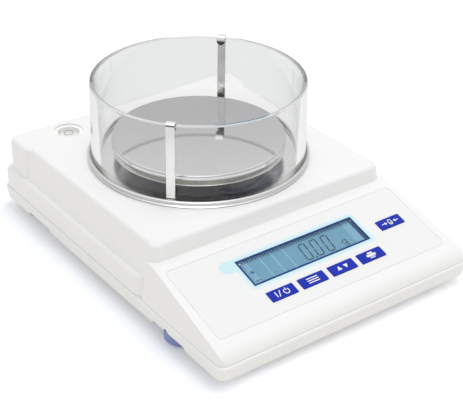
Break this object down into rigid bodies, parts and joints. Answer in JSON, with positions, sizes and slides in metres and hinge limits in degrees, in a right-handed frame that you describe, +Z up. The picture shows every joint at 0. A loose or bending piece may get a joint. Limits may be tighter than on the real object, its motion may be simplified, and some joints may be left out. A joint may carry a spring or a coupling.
{
  "type": "laboratory scale",
  "caption": "Electronic laboratory scale with a round polished pan inside a glass draft shield, a sloping display panel with blue keys, a bubble level and levelling feet.",
  "frame": {"origin": "on the table, under the middle of the case", "axes": "+X to the right and +Y to the back, seen from the display side; +Z up"},
  "size_m": [0.195, 0.26, 0.1105],
  "materials": {
    "case_white": "fine satin moulding",
    "film_white": "printed film",
    "print_navy": "printed line",
    "window_clear": "clear",
    "key_blue": "satin",
    "switch_black": "matt",
    "lcd_glass": "polarised cell",
    "lcd_ink": "dark",
    "holder_white": "matt",
    "light_panel": "diffusing",
    "board_green": "solder mask",
    "part_black": "moulded",
    "screw_steel": "zinc plated",
    "ribbon_grey": "ribbed",
    "tin_plate": "tinned",
    "jack_black": "moulded",
    "port_metal": "plated",
    "port_grey": "satin",
    "plate_steel": "powder coat",
    "cell_aluminium": "machined",
    "gauge_white": "coating",
    "bolt_black": "black oxide",
    "carrier_steel": "ground",
    "wire_red": "insulation",
    "pan_steel": "polished stainless",
    "soft_black": "matt",
    "tray_steel": "polished stainless",
    "shield_clear": "clear",
    "clip_steel": "satin stainless",
    "level_white": "satin",
    "level_clear": "clear",
    "level_fluid": "liquid",
    "wheel_blue": "satin",
    "stem_steel": "rolled thread",
    "foot_rubber": "matt",
    "insert_brass": "turned"
  },
  "bodies": {
    "case": {"lower_case": "case_white", "upper_cover": "case_white", "keypad_film": "film_white", "display_frame": "print_navy", "display_window": "window_clear", "key_switches": "switch_black", "lcd_cell": "lcd_glass", "lcd_segments": "lcd_ink", "lcd_holder": "holder_white", "backlight": "light_panel", "display_board": "board_green", "display_board_screws": "screw_steel", "ribbon_cable": "ribbon_grey", "main_board": "board_green", "board_components": "part_black", "shield_can": "tin_plate", "main_board_screws": "screw_steel", "power_jack": "jack_black", "data_port": "port_metal", "port_plate": "port_grey", "port_plate_screws": "screw_steel", "base_plate": "plate_steel", "base_plate_screws": "screw_steel", "load_cell": "cell_aluminium", "strain_gauges": "gauge_white", "cell_spacer_lower": "cell_aluminium", "cell_screws_lower": "bolt_black", "overload_stop": "screw_steel", "overload_nut": "screw_steel", "cell_wires": "wire_red", "shield_tray": "tray_steel", "level_cup": "level_white", "level_vial": "level_clear", "level_liquid": "level_fluid", "foot_inserts": "insert_brass", "rear_feet": "soft_black", "case_screws": "screw_steel"},
    "carrier": {"cell_spacer_upper": "cell_aluminium", "cell_screws_upper": "bolt_black", "carrier_bracket": "carrier_steel", "carrier_post": "carrier_steel", "carrier_post_screw": "bolt_black"},
    "pan": {"weighing_pan": "pan_steel", "pan_hub": "cell_aluminium", "hub_ring": "soft_black"},
    "shield": {"shield_glass": "shield_clear", "clip_front": "clip_steel", "clip_rear": "clip_steel"},
    "power_key": {"key_power": "key_blue"},
    "menu_key": {"key_menu": "key_blue"},
    "select_key": {"key_select": "key_blue"},
    "print_key": {"key_print": "key_blue"},
    "tare_key": {"key_tare": "key_blue"},
    "foot_left": {"foot_pad_left": "foot_rubber"},
    "wheel_left": {"thumbwheel_left": "wheel_blue", "foot_stem_left": "stem_steel"},
    "foot_right": {"foot_pad_right": "foot_rubber"},
    "wheel_right": {"thumbwheel_right": "wheel_blue", "foot_stem_right": "stem_steel"}
  },
  "joints": [
    {"name": "pan_load", "type": "slide", "parent": "case", "child": "carrier", "axis": [0, 0, -1], "range_m": [0, 0.0003], "stiffness_N_per_m": 20000, "springref_m": -0.0005, "deforming": ["load_cell"]},
    {"name": "pan_lift", "type": "slide", "parent": "carrier", "child": "pan", "axis": [0, 0, 1], "range_m": [0, 0.06]},
    {"name": "shield_lift", "type": "slide", "parent": "case", "child": "shield", "axis": [0, 0, 1], "range_m": [0, 0.06]},
    {"name": "power_press", "type": "slide", "parent": "case", "child": "power_key", "axis": [0, 0.2639, -0.9646], "range_m": [0, 0.0003], "stiffness_N_per_m": 1200, "springref_m": -0.0006},
    {"name": "menu_press", "type": "slide", "parent": "case", "child": "menu_key", "axis": [0, 0.2639, -0.9646], "range_m": [0, 0.0003], "stiffness_N_per_m": 1200, "springref_m": -0.0006},
    {"name": "select_press", "type": "slide", "parent": "case", "child": "select_key", "axis": [0, 0.2639, -0.9646], "range_m": [0, 0.0003], "stiffness_N_per_m": 1200, "springref_m": -0.0006},
    {"name": "print_press", "type": "slide", "parent": "case", "child": "print_key", "axis": [0, 0.2639, -0.9646], "range_m": [0, 0.0003], "stiffness_N_per_m": 1200, "springref_m": -0.0006},
    {"name": "tare_press", "type": "slide", "parent": "case", "child": "tare_key", "axis": [0, 0.2639, -0.9646], "range_m": [0, 0.0003], "stiffness_N_per_m": 1200, "springref_m": -0.0006},
    {"name": "foot_left_travel", "type": "slide", "parent": "case", "child": "foot_left", "axis": [0, 0, -1], "range_m": [-0.0012, 0.004]},
    {"name": "wheel_left_turn", "type": "hinge", "parent": "foot_left", "child": "wheel_left", "pos_m": [-0.085, -0.0735, 0.005], "axis": [0, 0, -1], "range_deg": [-541, 1801]},
    {"name": "foot_right_travel", "type": "slide", "parent": "case", "child": "foot_right", "axis": [0, 0, -1], "range_m": [-0.0012, 0.004]},
    {"name": "wheel_right_turn", "type": "hinge", "parent": "foot_right", "child": "wheel_right", "pos_m": [0.085, -0.0735, 0.005], "axis": [0, 0, -1], "range_deg": [-541, 1801]}
  ],
  "couplings": [
    {"joint": "wheel_left_turn", "follows": "foot_left_travel", "rad_per_m": 7854},
    {"joint": "wheel_right_turn", "follows": "foot_right_travel", "rad_per_m": 7854}
  ]
}
